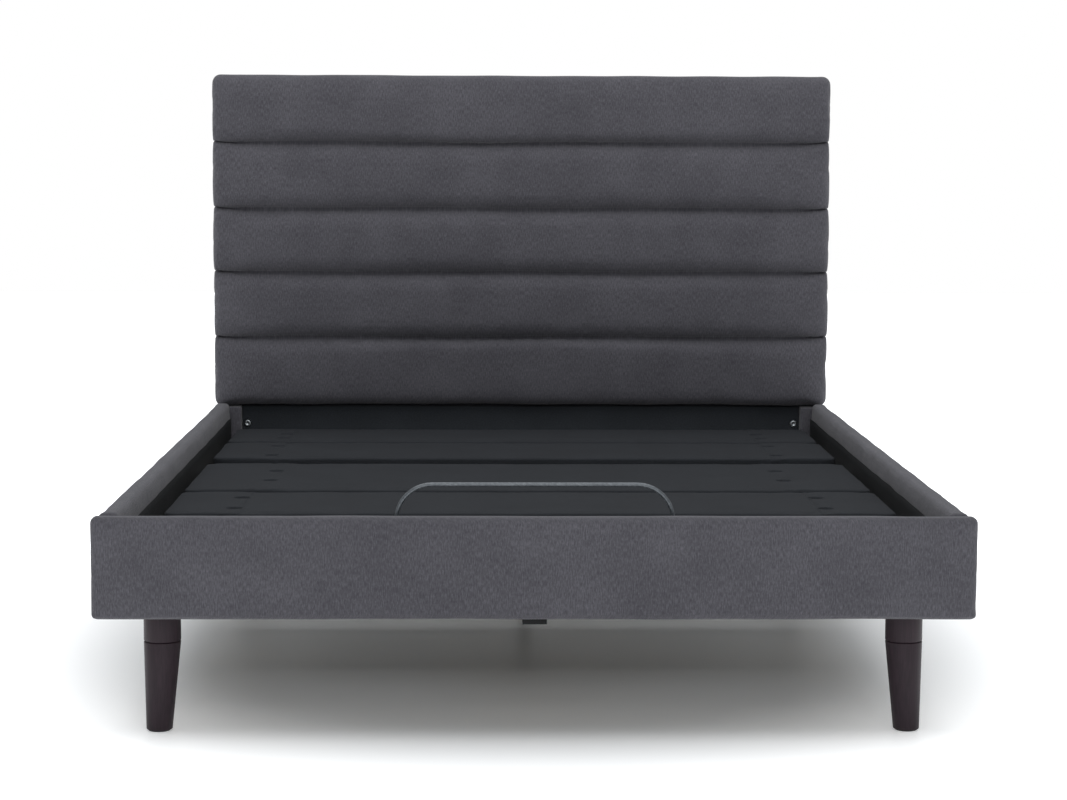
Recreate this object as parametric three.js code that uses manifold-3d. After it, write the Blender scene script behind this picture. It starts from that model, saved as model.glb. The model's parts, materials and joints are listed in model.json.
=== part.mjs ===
// Adjustable bed base: an upholstered platform bed around a motorised lifting base.
// Millimetres, +Z up. X runs across the bed and Y from the foot (-Y) to the head (+Y).
// Pieces are laid out in Y from the footboard's front face; the last lines move the whole
// bed so that its origin is the centre of its footprint on the floor.
import * as THREE from 'three';
import { RoundedBoxGeometry } from 'three/addons/geometries/RoundedBoxGeometry.js';
import { mergeVertices } from 'three/addons/utils/BufferGeometryUtils.js';
import Module from 'manifold-3d';

const wasm = await Module();
wasm.setup();

// ---------------------------------------------------------------- driving dimensions

const GAP = 0.3; // between pieces that rest on or against each other
const RUNNING_GAP = 0.4; // round a shaft, axle or rod

// Lying deck, from the foot to the head
const DECK_WIDTH = 1511;
const FOOT_PANEL_LENGTH = 398;
const THIGH_PANEL_LENGTH = 338;
const SEAT_PANEL_LENGTH = 481;
const BACK_PANEL_LENGTH = 327;
const PILLOW_PANEL_LENGTH = 296;
const PANEL_THICKNESS = 22.2;
const PANEL_CORNER_RADIUS = 14;
const DECK_FOOT_GAP = 8; // footboard to foot panel
const DECK_HEAD_GAP = 73; // pillow panel to headboard
const DECK_SIDE_GAP = 26.5; // deck to the rails' inner faces
const PANEL_TO_AXIS = 12; // panel end to the hinge axis beside it
const SEAT_TO_THIGH_AXIS = 13;
const BACK_GAP = 106; // seat panel to back panel, over the back hinge

// Upholstered surround
const RECESS_DEPTH = 62.5; // deck top to the top of the rails
const SURROUND_HEIGHT = 197.5;
const FOOTBOARD_THICKNESS = 40;
const FOOTBOARD_OVERHANG = 11; // past the rails' outer faces
const RAIL_THICKNESS = 39;
const PADDING_RADIUS = 12;
const HEADBOARD_OVERHANG = 4;
const HEADBOARD_PAD_HEIGHT = 888;
const HEADBOARD_PAD_THICKNESS = 60;
const HEADBOARD_BOARD_THICKNESS = 30;
const HEADBOARD_BOARD_INSET = 8; // pad edge to board edge
const PAD_BELOW_RAIL_TOP = 10.5;
const POST_WIDTH = 71;
const LOWER_PANEL_THICKNESS = 28;

// Legs and the slatted support
const LEG_LENGTH = 175;
const LEG_TOP_RADIUS = 35.5;
const LEG_FOOT_RADIUS = 25;
const LEG_SPLAY = 7.5; // how far the foot stands outside the top
const COLLAR_HEIGHT = 91.7;
const LEG_INSET = 70; // leg centre to the rail's inner face
const LEG_TO_END = 72; // leg centre to the footboard or headboard
const SLAT_THICKNESS = 18;
const SLAT_WIDTH = 90;
const END_SLAT_WIDTH = 140;
const LEDGER_WIDTH = 29.5;
const LEDGER_HEIGHT = 32;
const BEAM_WIDTH = 40;
const BEAM_HEIGHT = 45;
const BRACKET_PLATE = 3;
const CENTRE_LEG_RADIUS = 16;
const CENTRE_LEG_FLANGE_RADIUS = 28;
const CENTRE_LEG_FLANGE = 8;

// Fixed steel frame of the lifting base
const BASE_TUBE_WIDTH = 30;
const BASE_TUBE_HEIGHT = 31.7;
const TUBE_WALL = 2;
const BASE_SIDE_INSET = 32; // side tube to the rail's inner face
const BASE_END_INSET = 20; // side tube ends to footboard and headboard
const BRACKET_THICKNESS = 16.7;
const SEAT_CROSS_INSET = 87; // seat cross-members' centres to the seat panel's ends

// Lifting frames
const AXIS_ABOVE_BASE = 17; // hinge axes above the side tubes' tops
const ARM_SIZE = 25;
const ARM_CENTRE_X = 615;
const ARM_START = 28; // a jogged arm's start to the hinge axis
const ARM_LUG = 12;
const ARM_LUG_LENGTH = 60;
const TORQUE_TUBE_RADIUS = 15;
const TORQUE_EAR_RADIUS = 21;
const BEARING_EAR_RADIUS = 24;
const HINGE_TUBE_RADIUS = 9;
const KNEE_PIN_RADIUS = 6;
const ROLLER_RADIUS = 14;
const ROLLER_WIDTH = 20;
const ROLLER_AXLE_RADIUS = 5;
const FOOT_END_TO_AXLE = 42;

// Actuators: each pushes a lever that hangs under a hinge tube
const BACK_ANGLE = 60;
const THIGH_ANGLE = 35;
const PILLOW_ANGLE = 30;
const BODY_CLEARANCE = 1.7; // actuator body to the cross-member that it runs under
const LEVER_THICKNESS = 6;
const EYE_RADIUS = 8;
const CLEVIS_PIN_RADIUS = 5;
const FORK_CHEEK = 4;
const FORK_REACH = 20;
const ROD_RADIUS = 7;
const BODY_RADIUS = 14.5;
const GEARBOX_WIDTH = 46;
const GEARBOX_LENGTH = 70;
const ROD_OUT = 45; // body mouth to the lever pin at rest
const ROD_OVERLAP = 50; // rod left inside the body at full stroke
const LEG_ACTUATOR_X = -170;
const BACK_ACTUATOR_X = 170;
const PILLOW_ACTUATOR_X = 0;

// Mattress retainer bar and control box
const BAR_RADIUS = 4;
const BAR_HALF_WIDTH = 262;
const BAR_HEIGHT = 118;
const BAR_BEND_RADIUS = 68;
const BAR_TO_FOOT_END = 14;
const BAR_PLATE = { length: 60, width: 24, thickness: 3 };
const CONTROL_BOX = { x: 300, width: 180, length: 150, height: 44 };
const INLET = { width: 28, height: 20, depth: 22 };

// ---------------------------------------------------------------- places worked out from them

const footPanelY = FOOTBOARD_THICKNESS + DECK_FOOT_GAP;
const kneeY = footPanelY + FOOT_PANEL_LENGTH + PANEL_TO_AXIS;
const thighPanelY = kneeY + PANEL_TO_AXIS;
const thighY = thighPanelY + THIGH_PANEL_LENGTH + PANEL_TO_AXIS;
const seatPanelY = thighY + SEAT_TO_THIGH_AXIS;
const backY = seatPanelY + SEAT_PANEL_LENGTH + BACK_GAP / 2;
const backPanelY = backY + BACK_GAP / 2;
const pillowY = backPanelY + BACK_PANEL_LENGTH + PANEL_TO_AXIS;
const pillowPanelY = pillowY + PANEL_TO_AXIS;
const pillowEndY = pillowPanelY + PILLOW_PANEL_LENGTH;
const headboardY = pillowEndY + DECK_HEAD_GAP;
const axleY = footPanelY + FOOT_END_TO_AXLE;

const railInnerX = DECK_WIDTH / 2 + DECK_SIDE_GAP;
const railOuterX = railInnerX + RAIL_THICKNESS;
const legX = railInnerX - LEG_INSET;
const baseOuterX = railInnerX - BASE_SIDE_INSET;
const baseInnerX = baseOuterX - BASE_TUBE_WIDTH;
const bracketX = baseInnerX - GAP - BRACKET_THICKNESS;
const armInnerX = ARM_CENTRE_X - ARM_SIZE / 2;
const armOuterX = ARM_CENTRE_X + ARM_SIZE / 2;
const rollerX = (baseInnerX + baseOuterX) / 2;

const slatZ = LEG_LENGTH + GAP + COLLAR_HEIGHT;
const baseZ = slatZ + SLAT_THICKNESS + GAP;
const baseTopZ = baseZ + BASE_TUBE_HEIGHT;
const axisZ = baseTopZ + AXIS_ABOVE_BASE;
const armTopZ = axisZ + ARM_SIZE / 2;
const panelZ = armTopZ + GAP;
const deckTopZ = panelZ + PANEL_THICKNESS;
const surroundTopZ = deckTopZ + RECESS_DEPTH;
const surroundZ = surroundTopZ - SURROUND_HEIGHT;
const padZ = surroundTopZ - PAD_BELOW_RAIL_TOP;
const rodZ = baseTopZ + GAP - BODY_CLEARANCE - BODY_RADIUS;
const leverDrop = axisZ - rodZ; // lever pin below the hinge axis, at both ends of the stroke
const axleZ = baseTopZ + GAP + ROLLER_RADIUS;

// ---------------------------------------------------------------- shapes

const SIDES = { left: -1, right: 1 };
const X_AXIS = new THREE.Vector3(1, 0, 0);
const Y_AXIS = new THREE.Vector3(0, 1, 0);
const Z_AXIS = new THREE.Vector3(0, 0, 1);
const CURVE_SEGMENTS = 8;

// A pair of X values on one side of the bed, lowest first
function onSide(side, inner, outer) {
  return side > 0 ? [inner, outer] : [-outer, -inner];
}

function box(x, y, z) {
  const geometry = new THREE.BoxGeometry(x[1] - x[0], y[1] - y[0], z[1] - z[0]);
  return geometry.translate((x[0] + x[1]) / 2, (y[0] + y[1]) / 2, (z[0] + z[1]) / 2);
}

function paddedBox(x, y, z, radius) {
  const geometry = new RoundedBoxGeometry(x[1] - x[0], y[1] - y[0], z[1] - z[0], 2, radius);
  return geometry.translate((x[0] + x[1]) / 2, (y[0] + y[1]) / 2, (z[0] + z[1]) / 2);
}

// A bar's side outline, in Y and Z, with round ends centred on two points
function barOutline(from, to, radius) {
  const angle = Math.atan2(to[1] - from[1], to[0] - from[0]);
  const shape = new THREE.Shape();
  shape.absarc(to[0], to[1], radius, angle - Math.PI / 2, angle + Math.PI / 2, false);
  shape.absarc(from[0], from[1], radius, angle + Math.PI / 2, angle + 1.5 * Math.PI, false);
  shape.closePath();
  return shape;
}

function circleOutline([y, z], radius) {
  const shape = new THREE.Shape();
  shape.absarc(y, z, radius, 0, 2 * Math.PI, false);
  return shape;
}

function withHole(shape, [y, z], radius) {
  const hole = new THREE.Path();
  hole.absarc(y, z, radius, 0, 2 * Math.PI, true);
  shape.holes.push(hole);
  return shape;
}

// A side outline given its thickness across the bed
function sidePlate(outline, x) {
  const options = { depth: x[1] - x[0], bevelEnabled: false, curveSegments: CURVE_SEGMENTS };
  const geometry = new THREE.ExtrudeGeometry(outline, options);
  geometry.applyMatrix4(new THREE.Matrix4().makeBasis(Y_AXIS, Z_AXIS, X_AXIS));
  return geometry.translate(x[0], 0, 0);
}

function crossTube(centre, radius, halfLength) {
  const outline = withHole(circleOutline(centre, radius), centre, radius - TUBE_WALL);
  return sidePlate(outline, [-halfLength, halfLength]);
}

function crossPin(centre, radius, x) {
  return sidePlate(circleOutline(centre, radius), x);
}

function rodAlongY(x, z, radius, y) {
  const geometry = new THREE.CylinderGeometry(radius, radius, y[1] - y[0], 2 * CURVE_SEGMENTS);
  return geometry.translate(x, (y[0] + y[1]) / 2, z);
}

// A square steel tube, open at both ends, along X or along Y
function squareTube(x, y, z, along) {
  const across = along === 'x' ? y : x;
  const length = along === 'x' ? x : y;
  const outline = rectangle(across[0], z[0], across[1], z[1]);
  const bore = rectangle(
    across[0] + TUBE_WALL, z[0] + TUBE_WALL, across[1] - TUBE_WALL, z[1] - TUBE_WALL);
  outline.holes.push(bore);
  const options = { depth: length[1] - length[0], bevelEnabled: false };
  const geometry = new THREE.ExtrudeGeometry(outline, options);
  if (along === 'x') {
    geometry.applyMatrix4(new THREE.Matrix4().makeBasis(Y_AXIS, Z_AXIS, X_AXIS));
    return geometry.translate(length[0], 0, 0);
  }
  const downY = Y_AXIS.clone().negate();
  geometry.applyMatrix4(new THREE.Matrix4().makeBasis(X_AXIS, Z_AXIS, downY));
  return geometry.translate(0, length[1], 0);
}

function rectangle(left, bottom, right, top) {
  const shape = new THREE.Shape();
  shape.moveTo(left, bottom);
  shape.lineTo(right, bottom);
  shape.lineTo(right, top);
  shape.lineTo(left, top);
  shape.closePath();
  return shape;
}

function toSolid(geometry) {
  const bare = geometry.clone();
  bare.deleteAttribute('normal');
  bare.deleteAttribute('uv');
  const merged = mergeVertices(bare, 1e-4);
  return new wasm.Manifold(new wasm.Mesh({
    numProp: 3,
    vertProperties: new Float32Array(merged.attributes.position.array),
    triVerts: new Uint32Array(merged.index.array),
  }));
}

function toGeometry(solid) {
  const mesh = solid.getMesh();
  const geometry = new THREE.BufferGeometry();
  geometry.setAttribute('position', new THREE.BufferAttribute(mesh.vertProperties, 3));
  geometry.setIndex(new THREE.BufferAttribute(mesh.triVerts, 1));
  geometry.computeVertexNormals();
  return geometry;
}

function join(...geometries) {
  return toGeometry(geometries.map(toSolid).reduce((whole, piece) => whole.add(piece)));
}

function cut(geometry, tool) {
  return toGeometry(toSolid(geometry).subtract(toSolid(tool)));
}

// ---------------------------------------------------------------- materials and the group

const FINISHES = {
  upholstery: { color: '#4e4d52', roughness: 0.95, metalness: 0 },
  deckFabric: { color: '#37373b', roughness: 0.95, metalness: 0 },
  blackCloth: { color: '#202226', roughness: 0.95, metalness: 0 },
  legWood: { color: '#3a3639', roughness: 0.45, metalness: 0 },
  plywood: { color: '#b79a6f', roughness: 0.8, metalness: 0 },
  blackSteel: { color: '#1d1e20', roughness: 0.5, metalness: 0.6 },
  zincSteel: { color: '#a8abad', roughness: 0.35, metalness: 0.9 },
  blackPlastic: { color: '#191a1b', roughness: 0.6, metalness: 0 },
};

const bed = new THREE.Group();

function add(name, geometry, finish) {
  const mesh = new THREE.Mesh(geometry, new THREE.MeshStandardMaterial(FINISHES[finish]));
  mesh.name = name;
  bed.add(mesh);
}

// ---------------------------------------------------------------- upholstered surround

function addSurround() {
  const height = [surroundZ, surroundTopZ];
  const footboardX = railOuterX + FOOTBOARD_OVERHANG;
  add('footboard', paddedBox([-footboardX, footboardX], [0, FOOTBOARD_THICKNESS], height,
    PADDING_RADIUS), 'upholstery');
  for (const [name, side] of Object.entries(SIDES)) {
    const length = [FOOTBOARD_THICKNESS + GAP, headboardY - GAP];
    const rail = paddedBox(onSide(side, railInnerX, railOuterX), length, height, PADDING_RADIUS);
    add(`side_rail_${name}`, rail, 'upholstery');
  }
}

function addHeadboard() {
  const padX = railOuterX + HEADBOARD_OVERHANG;
  const backY0 = headboardY + HEADBOARD_PAD_THICKNESS;
  const topZ = padZ + HEADBOARD_PAD_HEIGHT;
  add('headboard_pad', paddedBox([-padX, padX], [headboardY, backY0], [padZ, topZ],
    PADDING_RADIUS), 'upholstery');

  const boardX = padX - HEADBOARD_BOARD_INSET;
  const boardY = [backY0 + GAP, backY0 + HEADBOARD_BOARD_THICKNESS];
  const boardZ = [surroundZ, topZ - HEADBOARD_BOARD_INSET];
  add('headboard_board', box([-boardX, boardX], boardY, boardZ), 'plywood');

  const postX = padX - POST_WIDTH;
  for (const [name, side] of Object.entries(SIDES)) {
    const post = paddedBox(onSide(side, postX, padX), [headboardY, backY0],
      [surroundZ, padZ - GAP], PADDING_RADIUS / 3);
    add(`headboard_post_${name}`, post, 'upholstery');
  }
  add('headboard_lower_panel', box([-postX + GAP, postX - GAP],
    [backY0 - LOWER_PANEL_THICKNESS, backY0], [surroundZ, padZ - GAP]), 'blackCloth');
}

// ---------------------------------------------------------------- legs, ledgers, beam and slats

// A turned leg whose foot stands further out than its top and whose ends stay level
function legGeometry(side) {
  const profile = [
    new THREE.Vector2(0, 0),
    new THREE.Vector2(LEG_FOOT_RADIUS - 1.5, 0),
    new THREE.Vector2(LEG_FOOT_RADIUS, 1.5),
    new THREE.Vector2(LEG_TOP_RADIUS, LEG_LENGTH),
    new THREE.Vector2(0, LEG_LENGTH),
  ];
  const leg = new THREE.LatheGeometry(profile, 4 * CURVE_SEGMENTS).rotateX(Math.PI / 2);
  const lean = -side * LEG_SPLAY / LEG_LENGTH;
  leg.applyMatrix4(new THREE.Matrix4().set(1, 0, lean, 0, 0, 1, 0, 0, 0, 0, 1, 0, 0, 0, 0, 1));
  return leg.translate(side * (legX + LEG_SPLAY), 0, 0);
}

function addLegs() {
  const places = { foot: FOOTBOARD_THICKNESS + LEG_TO_END, head: headboardY - LEG_TO_END };
  for (const [end, y] of Object.entries(places)) {
    for (const [name, side] of Object.entries(SIDES)) {
      add(`leg_${end}_${name}`, legGeometry(side).translate(0, y, 0), 'legWood');
      const collar = new THREE.CylinderGeometry(LEG_TOP_RADIUS, LEG_TOP_RADIUS, COLLAR_HEIGHT,
        4 * CURVE_SEGMENTS);
      collar.rotateX(Math.PI / 2);
      collar.translate(side * legX, y, LEG_LENGTH + GAP + COLLAR_HEIGHT / 2);
      add(`leg_collar_${end}_${name}`, collar, 'legWood');
    }
  }
}

function addSlats() {
  const slatX = railInnerX - 1;
  const z = [slatZ + GAP, slatZ + SLAT_THICKNESS];
  const start = FOOTBOARD_THICKNESS + 2;
  const end = headboardY - 2;
  const slats = {
    end_slat_foot: [start, start + END_SLAT_WIDTH],
    slat_front: [thighY - SLAT_WIDTH, thighY],
    slat_rear: [backY, backY + SLAT_WIDTH],
    end_slat_head: [end - END_SLAT_WIDTH, end],
  };
  for (const [name, y] of Object.entries(slats)) {
    add(name, box([-slatX, slatX], y, z), 'plywood');
  }
}

function addSupports() {
  for (const [name, side] of Object.entries(SIDES)) {
    const x = onSide(side, railInnerX - GAP - LEDGER_WIDTH, railInnerX - GAP);
    const y = [FOOTBOARD_THICKNESS + GAP, headboardY - GAP];
    add(`ledger_${name}`, box(x, y, [slatZ - LEDGER_HEIGHT, slatZ]), 'plywood');
  }
  const beamZ = slatZ - BEAM_HEIGHT;
  const beamX = BEAM_WIDTH / 2;
  const bracketY = FOOTBOARD_THICKNESS + GAP;
  const beamY = bracketY + BRACKET_PLATE + GAP;
  add('centre_beam', box([-beamX, beamX], [beamY, headboardY - GAP], [beamZ, slatZ]), 'plywood');

  // The bracket cups the beam's end and screws to the back of the footboard
  const cupX = beamX + GAP + BRACKET_PLATE;
  const cupZ = beamZ - GAP - BRACKET_PLATE;
  const cup = box([-cupX, cupX], [bracketY, beamY + BEAM_WIDTH], [cupZ, slatZ - BRACKET_PLATE]);
  const room = box([-beamX - GAP, beamX + GAP], [beamY - GAP, beamY + 2 * BEAM_WIDTH],
    [beamZ - GAP, slatZ]);
  add('beam_bracket_foot', cut(cup, room), 'blackSteel');

  const top = beamZ - GAP;
  const profile = [
    [0, 0], [CENTRE_LEG_FLANGE_RADIUS, 0], [CENTRE_LEG_FLANGE_RADIUS, CENTRE_LEG_FLANGE],
    [CENTRE_LEG_RADIUS, CENTRE_LEG_FLANGE], [CENTRE_LEG_RADIUS, top - CENTRE_LEG_FLANGE],
    [CENTRE_LEG_FLANGE_RADIUS, top - CENTRE_LEG_FLANGE], [CENTRE_LEG_FLANGE_RADIUS, top], [0, top],
  ].map(([radius, height]) => new THREE.Vector2(radius, height));
  const leg = new THREE.LatheGeometry(profile, 2 * CURVE_SEGMENTS).rotateX(Math.PI / 2);
  add('centre_leg', leg.translate(0, backY + SLAT_WIDTH / 2, 0), 'blackSteel');
}

// ---------------------------------------------------------------- fixed frame of the base

function addBaseFrame() {
  const sideY = [FOOTBOARD_THICKNESS + BASE_END_INSET, headboardY - BASE_END_INSET];
  const tubeZ = [baseZ, baseTopZ];
  for (const [name, side] of Object.entries(SIDES)) {
    const x = onSide(side, baseInnerX, baseOuterX);
    add(`base_side_${name}`, squareTube(x, sideY, tubeZ, 'y'), 'blackSteel');
    add(`hinge_bracket_${name}`, hingeBracket(side), 'blackSteel');
  }
  const crossX = [-baseInnerX + GAP, baseInnerX - GAP];
  const footY = [sideY[0], sideY[0] + BASE_TUBE_WIDTH];
  const headY = [sideY[1] - BASE_TUBE_WIDTH, sideY[1]];
  add('base_cross_foot', squareTube(crossX, footY, tubeZ, 'x'), 'blackSteel');
  add('base_cross_head', squareTube(crossX, headY, tubeZ, 'x'), 'blackSteel');
}

// A side plate that carries the thigh and back hinges and the seat's cross-members
function hingeBracket(side) {
  const x = onSide(side, bracketX, baseInnerX - GAP);
  const thighEar = ARM_SIZE / 2;
  const plate = box(x, [thighY - thighEar, backY], [baseZ, armTopZ]);
  const ear = sidePlate(circleOutline([backY, axisZ], BEARING_EAR_RADIUS), x);
  const through = [x[0] - 1, x[1] + 1];
  const backBore = crossPin([backY, axisZ], TORQUE_TUBE_RADIUS + RUNNING_GAP, through);
  const thighBore = crossPin([thighY, axisZ], HINGE_TUBE_RADIUS + RUNNING_GAP, through);
  return cut(cut(join(plate, ear), backBore), thighBore);
}

// A cross-member with a pair of lugs and a pin under it that hold an actuator's rear eye
function crossWithLugs(halfLength, y, z, lugX) {
  const tube = squareTube([-halfLength, halfLength], y, z, 'x');
  const centreY = (y[0] + y[1]) / 2;
  const inner = LEVER_THICKNESS / 2 + GAP + 0.5;
  const pieces = [tube];
  for (const x of [[-inner - FORK_CHEEK, -inner], [inner, inner + FORK_CHEEK]]) {
    const outline = barOutline([centreY, z[0] + EYE_RADIUS], [centreY, rodZ], EYE_RADIUS);
    pieces.push(sidePlate(outline, [lugX + x[0], lugX + x[1]]));
  }
  pieces.push(crossPin([centreY, rodZ], CLEVIS_PIN_RADIUS,
    [lugX - inner - FORK_CHEEK, lugX + inner + FORK_CHEEK]));
  return join(...pieces);
}

function seatCrossY(end) {
  const centre = end === 'front'
    ? seatPanelY + SEAT_CROSS_INSET
    : seatPanelY + SEAT_PANEL_LENGTH - SEAT_CROSS_INSET;
  return [centre - BASE_TUBE_WIDTH / 2, centre + BASE_TUBE_WIDTH / 2];
}

function addSeat() {
  const halfLength = bracketX - GAP;
  const z = [baseTopZ + GAP, armTopZ];
  add('seat_cross_front', crossWithLugs(halfLength, seatCrossY('front'), z, BACK_ACTUATOR_X),
    'blackSteel');
  add('seat_cross_rear', crossWithLugs(halfLength, seatCrossY('rear'), z, LEG_ACTUATOR_X),
    'blackSteel');
  add('seat_panel', deckPanel(seatPanelY, SEAT_PANEL_LENGTH), 'deckFabric');

  const { x, width, length, height } = CONTROL_BOX;
  const y = seatPanelY + (SEAT_PANEL_LENGTH - length) / 2;
  const housing = box([x, x + width], [y, y + length], [armTopZ - height, armTopZ]);
  const inletX = x + width / 2;
  const inletZ = armTopZ - height / 2;
  const inlet = box([inletX - INLET.width / 2, inletX + INLET.width / 2],
    [y - 1, y + INLET.depth], [inletZ - INLET.height / 2, inletZ + INLET.height / 2]);
  add('control_box', cut(housing, inlet), 'blackPlastic');
}

// A deck panel: an upholstered board with round corners
function deckPanel(y, length) {
  const halfWidth = DECK_WIDTH / 2;
  const r = PANEL_CORNER_RADIUS;
  const outline = new THREE.Shape();
  outline.absarc(halfWidth - r, y + length - r, r, 0, Math.PI / 2, false);
  outline.absarc(-halfWidth + r, y + length - r, r, Math.PI / 2, Math.PI, false);
  outline.absarc(-halfWidth + r, y + r, r, Math.PI, 1.5 * Math.PI, false);
  outline.absarc(halfWidth - r, y + r, r, 1.5 * Math.PI, 2 * Math.PI, false);
  outline.closePath();
  const options = { depth: PANEL_THICKNESS, bevelEnabled: false, curveSegments: 4 };
  return new THREE.ExtrudeGeometry(outline, options).translate(0, 0, panelZ);
}

// ---------------------------------------------------------------- actuators

// Where a lever's pin stands at rest: the lever swings the same angle either side of straight
// down, so its pin has the same height at both ends of the stroke
function leverPin(axisY, maxAngle, direction) {
  const half = THREE.MathUtils.degToRad(maxAngle / 2);
  return [axisY - direction * leverDrop * Math.tan(half), rodZ];
}

function hingeTubeWithLever(axisY, radius, halfLength, leverX, pin) {
  const outline = withHole(barOutline([axisY, axisZ], pin, EYE_RADIUS), pin, CLEVIS_PIN_RADIUS);
  const x = [leverX - LEVER_THICKNESS / 2, leverX + LEVER_THICKNESS / 2];
  return join(crossTube([axisY, axisZ], radius, halfLength), sidePlate(outline, x));
}

// Puts two Y values in rising order
function rising(a, b) {
  return [Math.min(a, b), Math.max(a, b)];
}

// An actuator body from its rear eye to the mouth that the rod slides out of;
// direction is +1 where the rod pushes towards the head and -1 towards the foot
function actuatorBody(x, eyeY, pinY, stroke, direction) {
  const mouthY = pinY - direction * ROD_OUT;
  const gearboxY = eyeY + direction * (EYE_RADIUS + 6);
  const gearboxEnd = gearboxY + direction * GEARBOX_LENGTH;
  const eyeX = [x - LEVER_THICKNESS / 2, x + LEVER_THICKNESS / 2];
  const eye = withHole(barOutline([eyeY, rodZ], [gearboxY + direction * 4, rodZ], EYE_RADIUS),
    [eyeY, rodZ], CLEVIS_PIN_RADIUS + RUNNING_GAP);
  const body = join(
    sidePlate(eye, eyeX),
    box([x - BODY_RADIUS, x - BODY_RADIUS + GEARBOX_WIDTH], rising(gearboxY, gearboxEnd),
      [rodZ - BODY_RADIUS, rodZ + BODY_RADIUS]),
    rodAlongY(x, rodZ, BODY_RADIUS, rising(gearboxEnd - direction * 4, mouthY)),
  );
  const boreDepth = ROD_OVERLAP + stroke + 4;
  const bore = rodAlongY(x, rodZ, ROD_RADIUS + RUNNING_GAP,
    rising(mouthY - direction * boreDepth, mouthY + direction));
  return cut(body, bore);
}

// The rod, with a fork whose cheeks stand either side of the lever
function actuatorRod(x, pinY, stroke, direction) {
  const tailY = pinY - direction * (ROD_OUT + ROD_OVERLAP + stroke);
  const forkY = pinY - direction * FORK_REACH;
  const inner = LEVER_THICKNESS / 2 + GAP;
  const pieces = [
    rodAlongY(x, rodZ, ROD_RADIUS, rising(tailY, forkY - direction * 2)),
    box([x - inner - FORK_CHEEK, x + inner + FORK_CHEEK], rising(forkY - direction * 8, forkY),
      [rodZ - EYE_RADIUS, rodZ + EYE_RADIUS]),
  ];
  for (const side of Object.values(SIDES)) {
    const [near, far] = onSide(side, inner, inner + FORK_CHEEK);
    const cheek = withHole(barOutline([forkY - direction * 4, rodZ], [pinY, rodZ], EYE_RADIUS),
      [pinY, rodZ], CLEVIS_PIN_RADIUS);
    pieces.push(sidePlate(cheek, [x + near, x + far]));
  }
  return join(...pieces);
}

function addActuator(name, x, eyeY, axisY, maxAngle, direction) {
  const [pinY] = leverPin(axisY, maxAngle, direction);
  const stroke = 2 * Math.abs(axisY - pinY);
  add(`${name}_actuator`, actuatorBody(x, eyeY, pinY, stroke, direction), 'blackPlastic');
  add(`${name}_actuator_rod`, actuatorRod(x, pinY, stroke, direction), 'zincSteel');
}

function middle([low, high]) {
  return (low + high) / 2;
}

// ---------------------------------------------------------------- lifting frames

// A straight arm that runs between two hinge axes
function straightArm(side, y, earRadius, bores) {
  const x = onSide(side, armInnerX, armOuterX);
  const outline = barOutline([y[0], axisZ], [y[1], axisZ], ARM_SIZE / 2);
  const through = [x[0] - 1, x[1] + 1];
  let arm = sidePlate(outline, x);
  if (earRadius > ARM_SIZE / 2) {
    arm = join(arm, sidePlate(circleOutline([y[0], axisZ], earRadius), x));
  }
  for (const [boreY, radius] of bores) {
    arm = cut(arm, crossPin([boreY, axisZ], radius + RUNNING_GAP, through));
  }
  return arm;
}

// An arm that starts clear of its hinge and reaches the axis with a lug beside the next arm
function joggedArm(side, hingeY, endY, boreRadius) {
  const direction = Math.sign(endY - hingeY);
  const overlap = 0.2;
  const bar = sidePlate(
    barOutline([hingeY + direction * (ARM_START + ARM_SIZE / 2), axisZ],
      [endY - direction * ARM_SIZE / 2, axisZ], ARM_SIZE / 2),
    onSide(side, armInnerX - overlap - GAP, armOuterX));
  const lug = sidePlate(
    barOutline([hingeY, axisZ], [hingeY + direction * ARM_LUG_LENGTH, axisZ], ARM_SIZE / 2),
    onSide(side, armInnerX - GAP - ARM_LUG, armInnerX - GAP));
  const arm = join(bar, lug);
  if (!boreRadius) {
    return arm;
  }
  const through = onSide(side, armInnerX - GAP - ARM_LUG - 1, armInnerX);
  return cut(arm, crossPin([hingeY, axisZ], boreRadius + RUNNING_GAP, through));
}

function addBackFrame() {
  const pin = leverPin(backY, BACK_ANGLE, 1);
  const tubeEnd = baseInnerX - 2 * GAP;
  add('back_torque_tube', hingeTubeWithLever(backY, TORQUE_TUBE_RADIUS, tubeEnd,
    BACK_ACTUATOR_X, pin), 'blackSteel');
  for (const [name, side] of Object.entries(SIDES)) {
    const bores = [[backY, TORQUE_TUBE_RADIUS], [pillowY, HINGE_TUBE_RADIUS]];
    add(`back_arm_${name}`, straightArm(side, [backY, pillowY], TORQUE_EAR_RADIUS, bores),
      'blackSteel');
  }
  add('back_cross', crossWithLugs(armInnerX - GAP, backCrossY, [axisZ - ARM_SIZE / 2, armTopZ],
    PILLOW_ACTUATOR_X), 'blackSteel');
  add('back_panel', deckPanel(backPanelY, BACK_PANEL_LENGTH), 'deckFabric');
}

const backCrossY = [backPanelY + 40, backPanelY + 40 + BASE_TUBE_WIDTH];

function addPillowFrame() {
  const pin = leverPin(pillowY, PILLOW_ANGLE, 1);
  add('pillow_tube', hingeTubeWithLever(pillowY, HINGE_TUBE_RADIUS, armOuterX + 3,
    PILLOW_ACTUATOR_X, pin), 'blackSteel');
  for (const [name, side] of Object.entries(SIDES)) {
    add(`pillow_arm_${name}`, joggedArm(side, pillowY, pillowEndY - PANEL_TO_AXIS,
      HINGE_TUBE_RADIUS), 'blackSteel');
  }
  add('pillow_panel', deckPanel(pillowPanelY, PILLOW_PANEL_LENGTH), 'deckFabric');
}

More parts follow.
